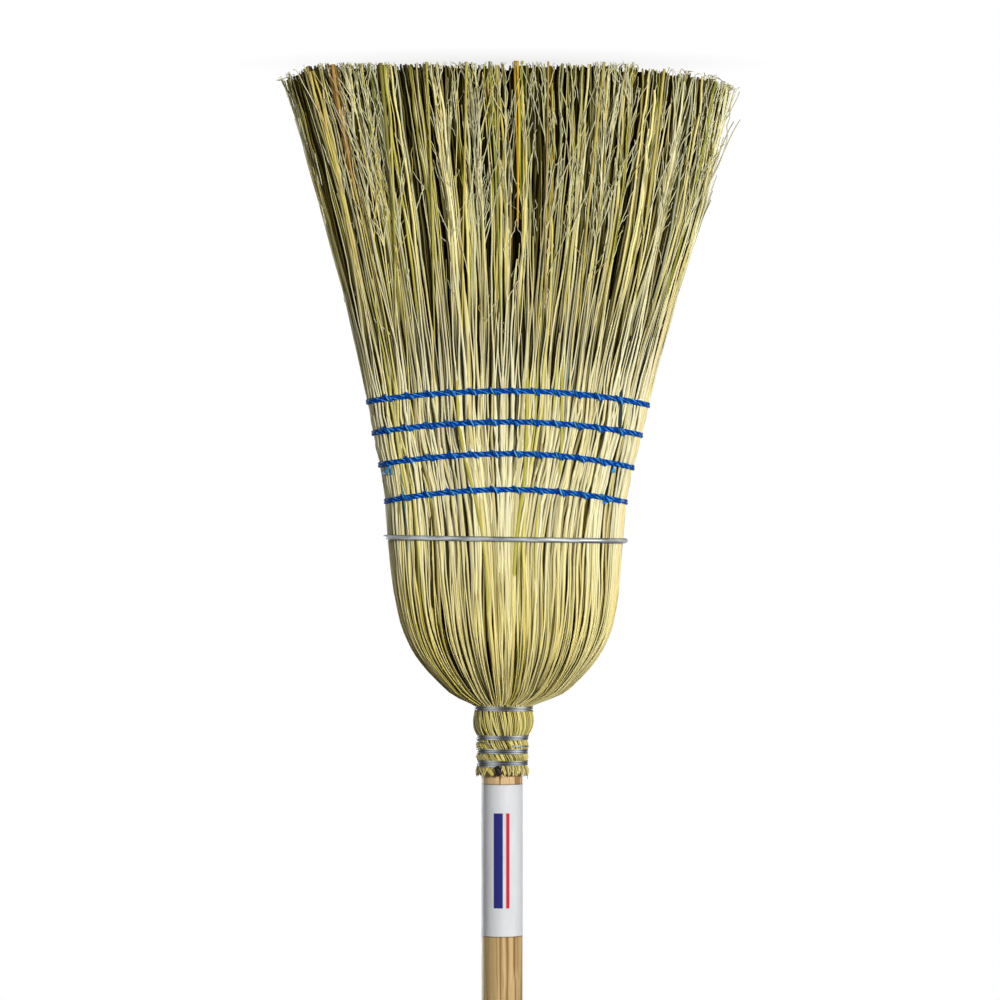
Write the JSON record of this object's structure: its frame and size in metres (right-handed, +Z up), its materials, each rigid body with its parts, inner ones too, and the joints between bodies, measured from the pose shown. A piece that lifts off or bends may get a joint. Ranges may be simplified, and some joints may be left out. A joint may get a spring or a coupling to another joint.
{
  "type": "corn broom",
  "caption": "Upright corn broom with a round wooden handle, a wire-bound neck, a hooped and sewn shoulder and flared straw bristles, for sweeping floors.",
  "frame": {"origin": "on the floor under the handle's axis, in the plane of the lowest bristle tips", "axes": "+Z up along the handle, +X across the flat head, -Y towards the front face of the head"},
  "size_m": [0.3102, 0.067, 1.435],
  "materials": {
    "handle_wood": "pale pine under thin clear lacquer",
    "label_film": "satin white film",
    "corn": "dry straw with a dull sheen",
    "inside_corn": "dry straw, darker",
    "galvanised_wire": "dull galvanised",
    "nail_steel": "dark blued steel",
    "blue_twine": "twisted synthetic twine with a soft gloss"
  },
  "bodies": {
    "root": {"handle": "handle_wood", "label_sleeve": "label_film", "inside_corn": "inside_corn", "left_shoulder_corn": "inside_corn", "right_shoulder_corn": "inside_corn", "front_hurl": "corn", "back_hurl": "corn", "front_bristles": "corn", "back_bristles": "corn", "left_bristles": "corn", "right_bristles": "corn", "inside_bristles": "corn", "core_binding_wire": "galvanised_wire", "neck_wire": "galvanised_wire", "shoulder_hoop": "galvanised_wire", "core_wire_tack": "nail_steel", "neck_wire_nail": "nail_steel", "wrap_twine_1": "blue_twine", "sewing_twine_1": "blue_twine", "wrap_twine_2": "blue_twine", "sewing_twine_2": "blue_twine", "wrap_twine_3": "blue_twine", "sewing_twine_3": "blue_twine", "wrap_twine_4": "blue_twine", "sewing_twine_4": "blue_twine"}
  },
  "joints": []
}
